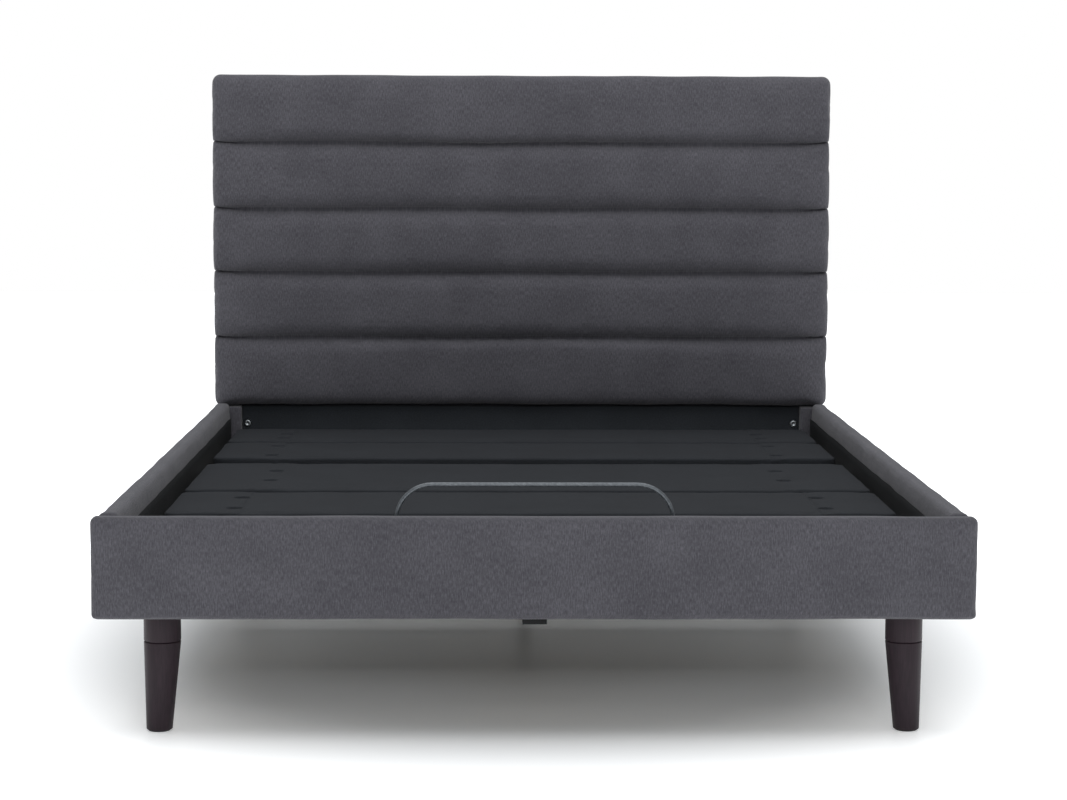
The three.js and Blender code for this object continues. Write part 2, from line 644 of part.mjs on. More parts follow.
function addThighFrame() {
  const pin = leverPin(thighY, THIGH_ANGLE, -1);
  add('thigh_tube', hingeTubeWithLever(thighY, HINGE_TUBE_RADIUS, baseInnerX - 2 * GAP,
    LEG_ACTUATOR_X, pin), 'blackSteel');
  for (const [name, side] of Object.entries(SIDES)) {
    const bores = [[kneeY, KNEE_PIN_RADIUS], [thighY, HINGE_TUBE_RADIUS]];
    add(`thigh_arm_${name}`, straightArm(side, [kneeY, thighY], 0, bores), 'blackSteel');
  }
  add('thigh_panel', deckPanel(thighPanelY, THIGH_PANEL_LENGTH), 'deckFabric');
}

function addFootFrame() {
  for (const [name, side] of Object.entries(SIDES)) {
    const kneePin = crossPin([kneeY, axisZ], KNEE_PIN_RADIUS,
      onSide(side, armInnerX - ARM_LUG, armOuterX + 3));
    const axle = crossPin([axleY, axleZ], ROLLER_AXLE_RADIUS,
      onSide(side, armOuterX - 4, rollerX + ROLLER_WIDTH / 2 + 3));
    const arm = joggedArm(side, kneeY, axleY - ARM_SIZE / 2, 0);
    add(`foot_arm_${name}`, join(arm, kneePin, axle), 'blackSteel');

    const tread = withHole(circleOutline([axleY, axleZ], ROLLER_RADIUS), [axleY, axleZ],
      ROLLER_AXLE_RADIUS + RUNNING_GAP);
    const treadX = onSide(side, rollerX - ROLLER_WIDTH / 2, rollerX + ROLLER_WIDTH / 2);
    add(`foot_roller_${name}`, sidePlate(tread, treadX), 'blackPlastic');
  }
  add('foot_panel', deckPanel(footPanelY, FOOT_PANEL_LENGTH), 'deckFabric');
  add('retainer_bar', retainerBar(), 'blackSteel');
}

// A round bar bent into a wide arch, with a screw plate under each end
function retainerBar() {
  const y = footPanelY + BAR_TO_FOOT_END;
  const plateZ = deckTopZ + GAP;
  const footZ = plateZ + BAR_PLATE.thickness / 2;
  const topZ = deckTopZ + BAR_HEIGHT - BAR_RADIUS;
  const bendZ = topZ - BAR_BEND_RADIUS;
  const bendX = BAR_HALF_WIDTH - BAR_BEND_RADIUS;
  const handle = BAR_BEND_RADIUS * 0.5523; // makes a cubic curve a quarter circle
  const at = (x, z) => new THREE.Vector3(x, y, z);
  const path = new THREE.CurvePath();
  path.add(new THREE.LineCurve3(at(-BAR_HALF_WIDTH, footZ), at(-BAR_HALF_WIDTH, bendZ)));
  path.add(new THREE.CubicBezierCurve3(at(-BAR_HALF_WIDTH, bendZ),
    at(-BAR_HALF_WIDTH, bendZ + handle), at(-bendX - handle, topZ), at(-bendX, topZ)));
  path.add(new THREE.LineCurve3(at(-bendX, topZ), at(bendX, topZ)));
  path.add(new THREE.CubicBezierCurve3(at(bendX, topZ), at(bendX + handle, topZ),
    at(BAR_HALF_WIDTH, bendZ + handle), at(BAR_HALF_WIDTH, bendZ)));
  path.add(new THREE.LineCurve3(at(BAR_HALF_WIDTH, bendZ), at(BAR_HALF_WIDTH, footZ)));
  const bar = new THREE.ExtrudeGeometry(circleOutline([0, 0], BAR_RADIUS),
    { steps: 60, extrudePath: path, curveSegments: 5 });
  const plates = Object.values(SIDES).map((side) => box(
    [side * BAR_HALF_WIDTH - BAR_PLATE.length / 2, side * BAR_HALF_WIDTH + BAR_PLATE.length / 2],
    [y - BAR_PLATE.width / 2, y + BAR_PLATE.width / 2], [plateZ, plateZ + BAR_PLATE.thickness]));
  return join(bar, ...plates);
}

// ---------------------------------------------------------------- assembly

addSurround();
addHeadboard();
addLegs();
addSlats();
addSupports();
addBaseFrame();
addSeat();
addActuator('back', BACK_ACTUATOR_X, middle(seatCrossY('front')), backY, BACK_ANGLE, 1);
addActuator('leg', LEG_ACTUATOR_X, middle(seatCrossY('rear')), thighY, THIGH_ANGLE, -1);
addBackFrame();
addActuator('pillow', PILLOW_ACTUATOR_X, middle(backCrossY), pillowY, PILLOW_ANGLE, 1);
addPillowFrame();
addThighFrame();
addFootFrame();

const overallLength = headboardY + HEADBOARD_PAD_THICKNESS + HEADBOARD_BOARD_THICKNESS;
bed.position.y = -overallLength / 2;

export default bed;
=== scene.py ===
"""An upholstered adjustable bed base: a padded platform surround with a channelled headboard, and in it
a motorised deck whose panels lift the back, the head, the thighs and the feet."""

import json
import math

import bmesh
import bpy
import numpy as np
from mathutils import Matrix, Vector, noise


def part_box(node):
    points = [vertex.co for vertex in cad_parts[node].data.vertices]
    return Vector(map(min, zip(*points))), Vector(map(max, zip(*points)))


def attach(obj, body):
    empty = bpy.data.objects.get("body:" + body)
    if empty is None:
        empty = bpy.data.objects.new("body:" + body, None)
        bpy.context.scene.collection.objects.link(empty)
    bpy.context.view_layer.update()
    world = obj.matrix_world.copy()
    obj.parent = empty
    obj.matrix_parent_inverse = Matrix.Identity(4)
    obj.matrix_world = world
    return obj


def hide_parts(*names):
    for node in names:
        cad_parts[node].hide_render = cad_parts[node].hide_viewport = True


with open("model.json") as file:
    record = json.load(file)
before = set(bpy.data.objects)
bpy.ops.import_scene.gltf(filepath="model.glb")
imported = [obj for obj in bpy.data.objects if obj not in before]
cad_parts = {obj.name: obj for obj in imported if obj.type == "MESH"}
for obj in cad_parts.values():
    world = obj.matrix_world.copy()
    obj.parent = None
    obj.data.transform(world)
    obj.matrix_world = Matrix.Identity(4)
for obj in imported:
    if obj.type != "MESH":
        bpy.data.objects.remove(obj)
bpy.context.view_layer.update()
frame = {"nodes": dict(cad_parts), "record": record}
scene = bpy.context.scene


# ------------------------------------------------------------------------------ camera
# A long lens some five metres in front of the footboard, at chest height, a little left of the
# middle and tipped slightly down.

camera_data = bpy.data.cameras.new("camera")
camera_data.sensor_width = 36
camera_data.lens = 86.97
camera_data.clip_end = 100
camera = bpy.data.objects.new("camera", camera_data)
scene.collection.objects.link(camera)
camera.location = (-0.0876, -5.8867, 1.1152)
LOOK_RIGHT, LOOK_DOWN, LEAN = math.radians(1.0), math.radians(5.575), math.radians(0.18)
camera.rotation_euler = (
    Matrix.Rotation(-LOOK_RIGHT, 3, "Z")
    @ Matrix.Rotation(math.pi / 2 - LOOK_DOWN, 3, "X")
    @ Matrix.Rotation(LEAN, 3, "Z")
).to_euler()
scene.camera = camera


# ------------------------------------------------------------------------------ studio
# A pale seamless floor in a white room, lit by one broad soft light overhead and another that stands
# well back in front, so that upright faces get their share.

def linear(hex_colour):
    """An sRGB hex colour as linear RGBA."""
    parts = [int(hex_colour[i : i + 2], 16) / 255 for i in (1, 3, 5)]
    return [c / 12.92 if c <= 0.04045 else ((c + 0.055) / 1.055) ** 2.4 for c in parts] + [1.0]


def new_material(name):
    """An empty material with a Principled shader and its output; returns material, tree and shader."""
    material = bpy.data.materials.new(name)
    material.use_nodes = True
    tree = material.node_tree
    tree.nodes.clear()
    output = tree.nodes.new("ShaderNodeOutputMaterial")
    shader = tree.nodes.new("ShaderNodeBsdfPrincipled")
    tree.links.new(shader.outputs["BSDF"], output.inputs["Surface"])
    return material, tree, shader


def add(tree, kind, settings=None, **inputs):
    """Adds a node, sets its properties, and sets or links each input that is named."""
    node = tree.nodes.new(kind)
    for key, value in (settings or {}).items():
        setattr(node, key, value)
    for key, value in inputs.items():
        socket = node.inputs[int(key[1:])] if key[0] == "i" and key[1:].isdigit() else node.inputs[key]
        if isinstance(value, bpy.types.NodeSocket):
            tree.links.new(value, socket)
        else:
            socket.default_value = value
    return node


def light(name, place, aim, size, power):
    """A soft rectangular light aimed at a point."""
    data = bpy.data.lights.new(name, "AREA")
    data.shape = "RECTANGLE"
    data.size, data.size_y = size
    data.energy = power
    lamp = bpy.data.objects.new(name, data)
    lamp.location = place
    lamp.rotation_euler = (Vector(aim) - Vector(place)).to_track_quat("-Z", "Y").to_euler()
    scene.collection.objects.link(lamp)


scene.view_settings.view_transform = "Standard"
world = bpy.data.worlds.new("white_room")
scene.world = world
world.use_nodes = True
room = world.node_tree
room.nodes.clear()
# seen directly the room is plain white; the light it sheds on the bed is weaker and a little cooler
seen = add(room, "ShaderNodeBackground", Color=(1, 1, 1, 1), Strength=1.0)
lit = add(room, "ShaderNodeBackground", Color=(0.94, 0.975, 1, 1), Strength=0.57)
rays = add(room, "ShaderNodeLightPath")
both = add(room, "ShaderNodeMixShader", i0=rays.outputs["Is Camera Ray"], i1=lit.outputs[0],
           i2=seen.outputs[0])
add(room, "ShaderNodeOutputWorld", Surface=both.outputs[0])

light("overhead", place=(0, -0.3, 3.6), aim=(0, 0.1, 0), size=(4.5, 4.5), power=118)
light("front", place=(0.6, -9.5, 4.6), aim=(0, 0.6, 0.7), size=(5.0, 4.0), power=165)

floor_sheet = bmesh.new()
bmesh.ops.create_grid(floor_sheet, x_segments=1, y_segments=1, size=14)
floor_mesh = bpy.data.meshes.new("floor")
floor_sheet.to_mesh(floor_mesh)
floor_sheet.free()
floor = bpy.data.objects.new("floor", floor_mesh)
scene.collection.objects.link(floor)

# White floor paint: a clean pale ground for the soft shadow, with only a faint blurred reflection.
GLOW_STARTS, GLOW_FULL = 0.46, 1.05  # scaled distances: beneath the bed, and nearly a metre beyond it
floor_paint, tree, shader = new_material("matt_white_floor")
shader.inputs["Base Color"].default_value = linear("#f6f7f8")
shader.inputs["Roughness"].default_value = 0.4
# away from the bed the floor glows as white as the walls, so that no horizon shows
spot = add(tree, "ShaderNodeTexCoord").outputs["Object"]
oval = add(tree, "ShaderNodeMapping", Vector=spot, Scale=(0.62, 0.5, 0))
far = add(tree, "ShaderNodeVectorMath", {"operation": "LENGTH"}, i0=oval.outputs[0])
glow = add(tree, "ShaderNodeMapRange", {"interpolation_type": "SMOOTHSTEP"}, Value=far.outputs["Value"])
glow.inputs["From Min"].default_value = GLOW_STARTS
glow.inputs["From Max"].default_value = GLOW_FULL
shader.inputs["Emission Color"].default_value = (1, 1, 1, 1)
tree.links.new(glow.outputs[0], shader.inputs["Emission Strength"])
floor.data.materials.append(floor_paint)


# ------------------------------------------------------------------------------ footboard and side rails
# Softwood boards wrapped in foam and a charcoal polyester upholstery cloth, pulled tight and stapled
# underneath. The footboard stands across the ends of the rails and a little wider than they do.

def weave_coordinates(tree, place):
    """Place across the warp in x and along it in z, the same on front, side and top faces."""
    xyz = add(tree, "ShaderNodeSeparateXYZ", Vector=place)
    across = add(tree, "ShaderNodeMath", {"operation": "ADD"}, i0=xyz.outputs[0], i1=xyz.outputs[1])
    along = add(tree, "ShaderNodeMath", {"operation": "ADD"}, i0=xyz.outputs[2], i1=xyz.outputs[1])
    return add(tree, "ShaderNodeCombineXYZ", X=across.outputs[0], Z=along.outputs[0]).outputs[0]


FLECK_MM, CLOUD_MM = 4.5, 120  # the mottling: small flecks, and broad patches of handling
WAVE_PERIOD = 0.314  # length of one band of the wave texture at a scale of 1


def woven_cloth(name, dark, mid, pale, thread_mm, slub_mm, sheen, contrast):
    """A cloth of mixed yarns, with fine threads in the bump and slubs and mottling in the colour; with short
    even slubs it passes for felt or lining. It reads where each point lay when the cloth was cut, so its
    threads follow the cover's folds."""
    material, tree, shader = new_material(name)
    place = add(tree, "ShaderNodeAttribute", {"attribute_name": "cut"}).outputs["Vector"]
    weave = weave_coordinates(tree, place)
    stretched = add(tree, "ShaderNodeMapping", Vector=weave, Scale=(1 / slub_mm[0], 1, 1 / slub_mm[1]))
    slub = add(tree, "ShaderNodeTexNoise", Vector=stretched.outputs[0], Scale=1.0, Detail=2.0, Roughness=0.6)
    fleck = add(tree, "ShaderNodeTexNoise", Vector=place, Scale=1 / FLECK_MM, Detail=2.0)
    cloud = add(tree, "ShaderNodeTexNoise", Vector=place, Scale=1 / CLOUD_MM, Detail=3.0, Roughness=0.55)
    streaks = add(tree, "ShaderNodeMath", {"operation": "MULTIPLY"}, i0=slub.outputs[0], i1=0.6)
    mixed = add(tree, "ShaderNodeMath", {"operation": "MULTIPLY_ADD"}, i0=fleck.outputs[0], i1=0.2,
                i2=streaks.outputs[0])
    shade = add(tree, "ShaderNodeMath", {"operation": "MULTIPLY_ADD"}, i0=cloud.outputs[0], i1=0.2,
                i2=mixed.outputs[0])
    ramp = add(tree, "ShaderNodeValToRGB", Fac=shade.outputs[0])
    stops = ramp.color_ramp.elements
    stops[0].position, stops[0].color = 0.5 - contrast, linear(dark)
    stops[1].position, stops[1].color = 0.5 + contrast, linear(pale)
    stops.new(0.5).color = linear(mid)
    tree.links.new(ramp.outputs[0], shader.inputs["Base Color"])

    threads = []
    for direction in ("X", "Z"):
        wave = add(tree, "ShaderNodeTexWave", {"bands_direction": direction, "wave_profile": "SIN"},
                   Vector=weave, Scale=WAVE_PERIOD / thread_mm, Distortion=1.2)
        wave.inputs["Detail Scale"].default_value = 2.0
        threads.append(wave.outputs["Fac"])
    cloth = add(tree, "ShaderNodeMath", {"operation": "MAXIMUM"}, i0=threads[0], i1=threads[1])
    height = add(tree, "ShaderNodeMath", {"operation": "ADD"}, i0=cloth.outputs[0], i1=slub.outputs[0])
    bump = add(tree, "ShaderNodeBump", Strength=0.45, Distance=0.0004, Height=height.outputs[0])
    tree.links.new(bump.outputs[0], shader.inputs["Normal"])
    shader.inputs["Roughness"].default_value = 0.92
    shader.inputs["Specular IOR Level"].default_value = 0.25
    shader.inputs["Sheen Weight"].default_value = sheen
    shader.inputs["Sheen Roughness"].default_value = 0.45
    return material


# Charcoal polyester upholstery weave. Its 1 mm threads only show close up; the slubs are drawn
# 2 mm wide so that they show at all.
upholstery = woven_cloth("charcoal_polyester_weave", "#323137", "#454449", "#59585e",
                         thread_mm=1.1, slub_mm=(2, 11), sheen=0.14, contrast=0.2)

EDGE_CUTS = (0, 0.2, 0.45, 0.72, 1)  # places of the cuts across a rounded edge, as shares of its width
SEAM_CUT = 0.0025  # distance between the cuts beside a seam
MM = 0.001  # a millimetre in metres


def stations(low, high, pitch, edge, marks=()):
    """Places for the cuts across a padded block: close together in the rounded edges and at seams."""
    places = [low + edge * share for share in EDGE_CUTS]
    places += [high - edge * share for share in EDGE_CUTS]
    for mark in marks:
        places += [mark - 2.4 * SEAM_CUT, mark - SEAM_CUT, mark, mark + SEAM_CUT, mark + 2.4 * SEAM_CUT]
    places.sort()
    filled = [places[0]]
    for place in places[1:]:
        gap = place - filled[-1]
        if gap < 1e-5:
            continue
        count = max(1, round(gap / pitch))
        filled += [filled[-1] + gap * (i + 1) / count for i in range(count)]
    return filled


def link(name, shape, *materials):
    """Makes an object of a finished bmesh, smooth shaded, and notes where each of its points began."""
    mesh = bpy.data.meshes.new(name)
    shape.to_mesh(mesh)
    shape.free()
    mesh.polygons.foreach_set("use_smooth", [True] * len(mesh.polygons))
    cut = mesh.attributes.new("cut", "FLOAT_VECTOR", "POINT")
    cut.data.foreach_set("vector", [c / MM for v in mesh.vertices for c in v.co])
    piece = bpy.data.objects.new(name, mesh)
    for material in materials:
        mesh.materials.append(material)
    scene.collection.objects.link(piece)
    return piece


def padded_block(name, cuts, radius, *materials):
    """A closed block with rounded edges, cut at the given places along x, y and z."""
    block = bmesh.new()
    bmesh.ops.create_cube(block, size=1)
    for axis, places in enumerate(cuts):
        long_edges = [e for e in block.edges if abs((e.verts[0].co - e.verts[1].co)[axis]) > 0.5]
        bmesh.ops.subdivide_edges(block, edges=long_edges, cuts=len(places) - 2, use_grid_fill=True)
    low = Vector([places[0] + radius for places in cuts])
    high = Vector([places[-1] - radius for places in cuts])
    for v in block.verts:
        co = Vector([places[round((v.co[i] + 0.5) * (len(places) - 1))] for i, places in enumerate(cuts)])
        core = Vector([min(max(co[i], low[i]), high[i]) for i in range(3)])
        if (co - core).length > radius:
            co = core + (co - core).normalized() * radius
        v.co = co
    return link(name, block, *materials)


def points_of(piece):
    """The points of a piece's mesh, one row each."""
    co = np.empty(len(piece.data.vertices) * 3)
    piece.data.vertices.foreach_get("co", co)
    return co.reshape(-1, 3)


def set_points(piece, co):
    """Moves the points of a piece's mesh to the given rows."""
    piece.data.vertices.foreach_set("co", np.asarray(co, float).ravel())
    piece.data.update()


def swell(piece, held, pressure, reach, slack=0.004, stiffness=12.0, last_frame=14):
    """Lets the cloth cover swell off its foam by simulation; held points stay where they are sewn or
    stapled, and no point moves further than its reach."""
    before = points_of(piece)
    group = piece.vertex_groups.new(name="held")
    group.add([int(i) for i in np.nonzero(held)[0]], 1.0, "REPLACE")
    cloth = piece.modifiers.new("cloth", "CLOTH")
    settings = cloth.settings
    settings.quality = 4
    settings.mass = 0.3
    settings.tension_stiffness = stiffness
    settings.compression_stiffness = stiffness
    settings.shear_stiffness = stiffness / 2
    settings.bending_stiffness = 0.4
    settings.air_damping = 4
    settings.shrink_min = -slack
    settings.use_pressure = True
    settings.uniform_pressure_force = pressure
    settings.effector_weights.gravity = 0
    settings.vertex_group_mass = "held"
    cloth.collision_settings.use_collision = False
    cloth.point_cache.frame_start, cloth.point_cache.frame_end = 1, last_frame
    for step in range(1, last_frame + 1):
        scene.frame_set(step)
    result = piece.evaluated_get(bpy.context.evaluated_depsgraph_get()).to_mesh()
    after = np.empty(len(result.vertices) * 3)
    result.vertices.foreach_get("co", after)
    piece.modifiers.remove(cloth)
    piece.vertex_groups.clear()
    scene.frame_set(1)
    move = after.reshape(-1, 3) - before
    length = np.linalg.norm(move, axis=1, keepdims=True) + 1e-9
    reach = np.broadcast_to(reach, len(before))[:, None]
    set_points(piece, before + move / length * reach * np.tanh(length / reach))


def uneven(piece, height, size, seed, flat=None):
    """Shallow unevenness of foam and hand-pulled cloth, along each point's normal."""
    co = points_of(piece)
    normals = np.array([v.normal for v in piece.data.vertices])
    lift = np.array([noise.noise(Vector(p) / size + Vector((seed, 0, 0))) for p in co]) * height
    if flat is not None:
        lift[flat] = 0
    set_points(piece, co + normals * lift[:, None])


def finish_pad(piece, body, slot, fill, *replaced):
    """Attaches a padded piece to what it rides on and hides the parts that it stands for. Slot and fill are
    not used.
    """
    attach(piece, body)
    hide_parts(*replaced)


FOAM_RADIUS = 0.012
STAPLED = 0.004  # the height above the underside within which the cover is stapled
LINING_TOP = 0.390  # the grey cover ends here on the inner faces, and black lining goes on below

foot_low, foot_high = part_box("footboard")
footboard = padded_block("footboard_cover", (
    stations(foot_low.x, foot_high.x, 0.012, FOAM_RADIUS),
    stations(foot_low.y + 0.002, foot_high.y, 0.009, FOAM_RADIUS),
    stations(foot_low.z, foot_high.z, 0.011, FOAM_RADIUS)), FOAM_RADIUS, upholstery)
places = points_of(footboard)
swell(footboard, places[:, 2] < foot_low.z + STAPLED, pressure=2.0, reach=0.0035)
uneven(footboard, height=0.0012, size=0.16, seed=3)
finish_pad(footboard, "base", "upholstery_fabric", 0.95, "footboard")

for side in ("left", "right"):
    low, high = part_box(f"side_rail_{side}")
    rail = padded_block(f"side_rail_cover_{side}", (
        stations(low.x, high.x, 0.009, FOAM_RADIUS),
        stations(low.y, high.y, 0.014, FOAM_RADIUS),
        stations(low.z, high.z, 0.012, FOAM_RADIUS)), FOAM_RADIUS, upholstery)
    places = points_of(rail)
    inner = np.abs(places[:, 0]) < min(abs(low.x), abs(high.x)) + 0.001
    lined = inner & (places[:, 2] < LINING_TOP)
    swell(rail, lined | (places[:, 2] < low.z + STAPLED), pressure=1.5, reach=0.002)
    uneven(rail, height=0.0014, size=0.13, seed=7 if side == "left" else 11, flat=lined)
    finish_pad(rail, "base", "upholstery_fabric", 0.95, f"side_rail_{side}")


# ------------------------------------------------------------------------------ headboard
# Foam on a plywood board under the same cloth, sewn through along four level seams into five channels
# and pulled round the sides. The seams rise a little as they run out at the sides.

CHANNELS = (0.1843, 0.1747, 0.1712, 0.1765)  # heights from the lowest channel up; the top takes the rest
SEAM_DEPTH = 0.025
SEAM_NIP = 0.006  # the thread bites in this much more once the foam has swollen
SEAM_RISE = 0.006  # how far a seam climbs by the time it reaches the side
VALLEY_REACH, NIP_REACH = 0.014, 0.0026  # how far from the seam the foam dips, and the thread bites
VALLEY_SHARE, NIP_SHARE = 0.32, 0.68  # their shares of the seam's depth
PAD_RADIUS = 0.022
POST_RADIUS = 0.005

pad_low, pad_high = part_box("headboard_pad")
seams = [pad_low.z + sum(CHANNELS[: i + 1]) for i in range(len(CHANNELS))]
headboard = padded_block("headboard_cover", (
    stations(pad_low.x, pad_high.x, 0.013, PAD_RADIUS),
    stations(pad_low.y, pad_high.y, 0.010, PAD_RADIUS),
    stations(pad_low.z, pad_high.z, 0.012, PAD_RADIUS, seams)), PAD_RADIUS, upholstery)

places = points_of(headboard)
on_seam = np.zeros(len(places), bool)
nipped = np.zeros(len(places))
pulled = places.copy()
half_width = (pad_high.x - pad_low.x) / 2
to_side = np.clip(half_width - np.abs(places[:, 0]), 0, None)
# how much of the pull a point feels: all on the front, fading round the sides to the back
depth_share = np.clip((pad_high.y - places[:, 1]) / (pad_high.y - pad_low.y), 0, 1) ** 0.7
for index, seam in enumerate(seams):
    away = places[:, 2] - seam
    on_seam |= (np.abs(away) < 1e-5) & (places[:, 1] < pad_high.y - 0.012)
    valley, nip = np.exp(-np.abs(away) / VALLEY_REACH), np.exp(-np.abs(away) / NIP_REACH)
    crease = SEAM_DEPTH * (VALLEY_SHARE * valley + NIP_SHARE * nip) * depth_share
    fade = np.clip(to_side / 0.012, 0.35, 1)
    front = places[:, 1] < pad_low.y + 0.02
    pulled[:, 1] += np.where(front, crease * fade, 0)
    nipped += np.where(front, nip * fade, 0)
    pulled[:, 0] -= np.sign(places[:, 0]) * np.where(to_side < 0.02, crease * 0.25, 0)
    rise = SEAM_RISE * np.exp(-to_side / 0.045) + 0.0012 * np.sin(places[:, 0] * 9 + index * 2.1)
    pulled[:, 2] += rise * np.exp(-np.abs(away) / 0.03)
set_points(headboard, pulled)
# near the sides and the top the cloth is drawn tight over the edge and can swell less
stapled = places[:, 1] > pad_high.y - 0.004
reach = 0.007 * np.clip(to_side / 0.05, 0.3, 1) * np.clip((pad_high.z - places[:, 2]) / 0.05, 0.1, 1)
swell(headboard, on_seam | stapled, pressure=3.0, reach=reach, slack=0.012, stiffness=9.0, last_frame=18)
co = points_of(headboard)
co[:, 1] += SEAM_NIP * nipped
# the lower hem is pulled round by hand and runs a little wavy
hem = np.exp(-(co[:, 2] - pad_low.z) / 0.02)
co[:, 2] += hem * np.array([0.0065 * noise.noise(Vector((x * 4, 0, 2))) - 0.001 for x in co[:, 0]])
set_points(headboard, co)
uneven(headboard, height=0.0013, size=0.12, seed=21)
finish_pad(headboard, "base", "upholstery_fabric", 0.85, "headboard_pad")

for side in ("left", "right"):
    low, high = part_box(f"headboard_post_{side}")
    post = padded_block(f"headboard_post_cover_{side}", (
        stations(low.x, high.x, 0.010, POST_RADIUS),
        stations(low.y, high.y, 0.012, POST_RADIUS),
        stations(low.z, high.z, 0.012, POST_RADIUS)), POST_RADIUS, upholstery)
    uneven(post, height=0.0007, size=0.05, seed=31 if side == "left" else 37)
    finish_pad(post, "base", "upholstery_fabric", 1.0, f"headboard_post_{side}")


# ------------------------------------------------------------------------------ black lining
# Black spun-bonded cloth: stretched over the board between the headboard's posts, and stapled along
# the inner faces of the rails and the footboard below their grey cover. Only the rails' strips are drawn.

# Spun-bonded polypropylene: black and dull, faint grain; darkened past the wall's as painted shade on the
# rails.
lining_cloth = woven_cloth("black_lining_painted_shade", "#0b0c0e", "#101113", "#16181a",
                           thread_mm=1.6, slub_mm=(3, 3), sheen=0.0, contrast=0.2)
# The same black cloth on the wall, made paler than the rails' lining as painted light; a trace of sheen.
wall_cloth = woven_cloth("black_lining_painted_lit", "#1a1c20", "#24272b", "#2e3236",
                         thread_mm=1.6, slub_mm=(3, 3), sheen=0.04, contrast=0.2)

WALL_RADIUS = 0.003
LINING_THICKNESS = 0.0012

low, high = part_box("headboard_lower_panel")
wall = padded_block("headboard_wall_lining", (
    stations(low.x, high.x, 0.020, WALL_RADIUS),
    stations(low.y, high.y, 0.010, WALL_RADIUS),
    stations(low.z, high.z, 0.015, WALL_RADIUS)), WALL_RADIUS, wall_cloth)
uneven(wall, height=0.0020, size=0.10, seed=41)
finish_pad(wall, "base", "black_cloth", 1.0, "headboard_lower_panel")


def rail_lining(name, inner, sign, ends, bottom):
    """A strip of lining along a rail, just off its inner face, with the uneven edge that it was cut to."""
    strip = bmesh.new()
    bmesh.ops.create_grid(strip, x_segments=120, y_segments=6, size=0.5)
    length, height = ends[1] - ends[0], LINING_TOP - bottom
    for v in strip.verts:
        along, up = ends[0] + (v.co.x + 0.5) * length, bottom + (v.co.y + 0.5) * height
        ripple = 0.0012 + 0.0010 * abs(noise.noise(Vector((along * 9, up * 20, inner))))
        edge = 0.0028 * noise.noise(Vector((along * 7, inner * 10, 4))) * (v.co.y + 0.5)
        v.co = (inner - sign * ripple, along, up + edge)
    bmesh.ops.recalc_face_normals(strip, faces=strip.faces)
    piece = link(name, strip, lining_cloth)
    skin = piece.modifiers.new("thickness", "SOLIDIFY")
    skin.thickness = LINING_THICKNESS
    skin.offset = 0
    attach(piece, "base")


slat_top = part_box("end_slat_foot")[1].z
for side, sign in (("left", -1), ("right", 1)):
    low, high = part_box(f"side_rail_{side}")
    inner = high.x if sign < 0 else low.x
    rail_lining(f"rail_lining_{side}", inner, sign, (low.y + 0.004, high.y - 0.004), slat_top + 0.002)


# ------------------------------------------------------------------------------ back of the headboard
# The grey cloth wraps round the edges of the plywood board that carries the foam. A black dust cover of
# the same lining is stapled over the back of it, a little in from the edge.

BOARD_RADIUS = 0.006
DUST_COVER_INSET = 0.022
DUST_COVER_RADIUS = 0.0006

low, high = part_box("headboard_board")
board = padded_block("headboard_board_cover", (
    stations(low.x, high.x, 0.020, BOARD_RADIUS),
    stations(low.y, high.y, 0.010, BOARD_RADIUS),
    stations(low.z, high.z, 0.020, BOARD_RADIUS)), BOARD_RADIUS, upholstery)
uneven(board, height=0.0006, size=0.12, seed=43, flat=points_of(board)[:, 1] < low.y + 0.002)
finish_pad(board, "base", "upholstery_fabric", 1.0, "headboard_board")

dust = padded_block("headboard_dust_cover", (
    stations(low.x + DUST_COVER_INSET, high.x - DUST_COVER_INSET, 0.030, DUST_COVER_RADIUS),
    stations(high.y - 0.0002, high.y + 0.0014, 0.001, DUST_COVER_RADIUS),
    stations(low.z + DUST_COVER_INSET, high.z - DUST_COVER_INSET, 0.030, DUST_COVER_RADIUS)),
    DUST_COVER_RADIUS, lining_cloth)
co = points_of(dust)
co[:, 1] += np.array([0.0008 + 0.0008 * noise.noise(Vector((p[0] * 6, 0, p[2] * 6))) for p in co])
set_points(dust, co)
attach(dust, "base")


def object_mm(tree):
    """The place on the piece, in millimetres."""
    place = add(tree, "ShaderNodeTexCoord").outputs["Object"]
    return add(tree, "ShaderNodeVectorMath", {"operation": "SCALE"}, i0=place, Scale=1 / MM).outputs[0]


def speckled(name, dark, pale, grain_mm, roughness, metallic=0.0, relief=0.0, specular=0.5):
    """A metal or plastic whose colour and relief vary finely over it."""
    material, tree, shader = new_material(name)
    grain = add(tree, "ShaderNodeTexNoise", Vector=object_mm(tree), Scale=1 / grain_mm, Detail=2.0)
    ramp = add(tree, "ShaderNodeValToRGB", Fac=grain.outputs[0])
    ramp.color_ramp.elements[0].position, ramp.color_ramp.elements[0].color = 0.35, linear(dark)
    ramp.color_ramp.elements[1].position, ramp.color_ramp.elements[1].color = 0.65, linear(pale)
    tree.links.new(ramp.outputs[0], shader.inputs["Base Color"])
    bump = add(tree, "ShaderNodeBump", Strength=relief, Distance=0.0002, Height=grain.outputs[0])
    tree.links.new(bump.outputs[0], shader.inputs["Normal"])
    shader.inputs["Roughness"].default_value = roughness
    shader.inputs["Metallic"].default_value = metallic
    shader.inputs["Specular IOR Level"].default_value = specular
    return material


# Galvanised wire for the staples, and the same zinc on the headboard bolts: pale, with small bright glints.
staple_steel = speckled("galvanised_staple", "#858a8d", "#a3a7aa", grain_mm=4, roughness=0.35, metallic=1.0)

CROWN_LENGTH, CROWN_WIRE = 0.0110, 0.0009
STAPLE_MARGIN = 0.007  # from the edge of the dust cover to its staples


